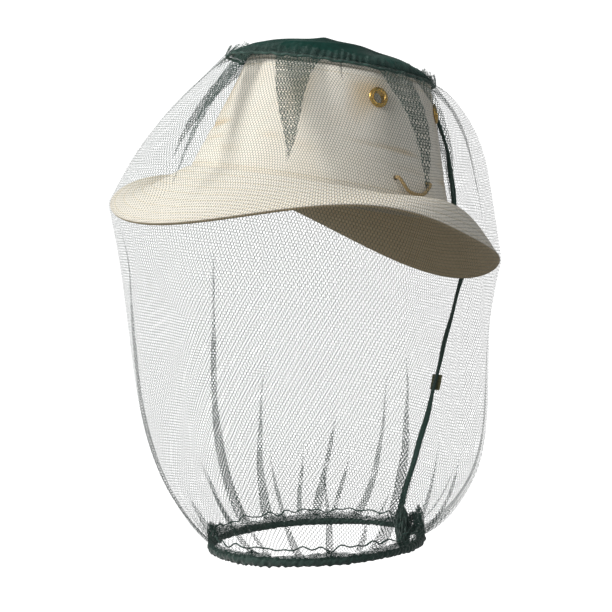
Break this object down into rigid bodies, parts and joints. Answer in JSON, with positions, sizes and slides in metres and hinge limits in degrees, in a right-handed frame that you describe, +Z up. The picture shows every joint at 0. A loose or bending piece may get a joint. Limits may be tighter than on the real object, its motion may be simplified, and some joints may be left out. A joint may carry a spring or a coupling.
{
  "type": "beekeeping head net with sun hat",
  "caption": "Dark green mesh head net with a woven crown disc and an elasticated gathered hem, worn over a cream canvas brimmed sun hat with brass eyelets.",
  "frame": {"origin": "centre of the hat's head opening, where the crown meets the brim", "axes": "+Z up; the wearer looks along -Y; +X is the wearer's left; the hat sits tipped back 7.7 degrees and leans 4.7 degrees to the wearer's left"},
  "size_m": [0.2631, 0.3162, 0.3812],
  "materials": {
    "canvas": "plain woven cotton canvas, cream, matt",
    "under_canvas": "plain woven canvas, tan, matt, stitched in rings",
    "interlining": "stiff unbleached interlining",
    "sweatband": "soft cotton twill",
    "cord": "braided tan cord",
    "brass": "polished brass, lightly worn",
    "woven_green": "close woven dark green cloth with a slight sheen",
    "seam_green": "gathered and overlocked seam, dark green",
    "net": "fine hexagonal mesh of thin dark green yarn",
    "hem_green": "folded and gathered net, very dark green",
    "elastic": "woven elastic band",
    "label": "plain woven olive tab"
  },
  "bodies": {
    "hat": {"crown_tip": "canvas", "crown_wall": "canvas", "brim_upper": "canvas", "brim_interlining": "interlining", "brim_lower": "under_canvas", "sweatband": "sweatband", "wind_cord": "cord", "eyelet_left_front": "brass", "eyelet_left_back": "brass", "eyelet_right_front": "brass", "eyelet_right_back": "brass", "eyelet_washer_left_front": "brass", "eyelet_washer_left_back": "brass", "eyelet_washer_right_front": "brass", "eyelet_washer_right_back": "brass", "crown_disc": "woven_green", "crown_seam": "seam_green", "net_upper": "net", "net_skirt": "net", "seam_upper": "seam_green", "seam_lower": "seam_green", "label_tab": "label"},
    "hem": {"hem_casing": "hem_green", "hem_elastic": "elastic", "seam_bunch": "hem_green"}
  },
  "joints": [
    {"name": "hem_lift", "type": "slide", "parent": "hat", "child": "hem", "axis": [0, 0, 1], "range_m": [0, 0.1], "deforming": ["net_skirt", "seam_lower", "label_tab"]}
  ]
}
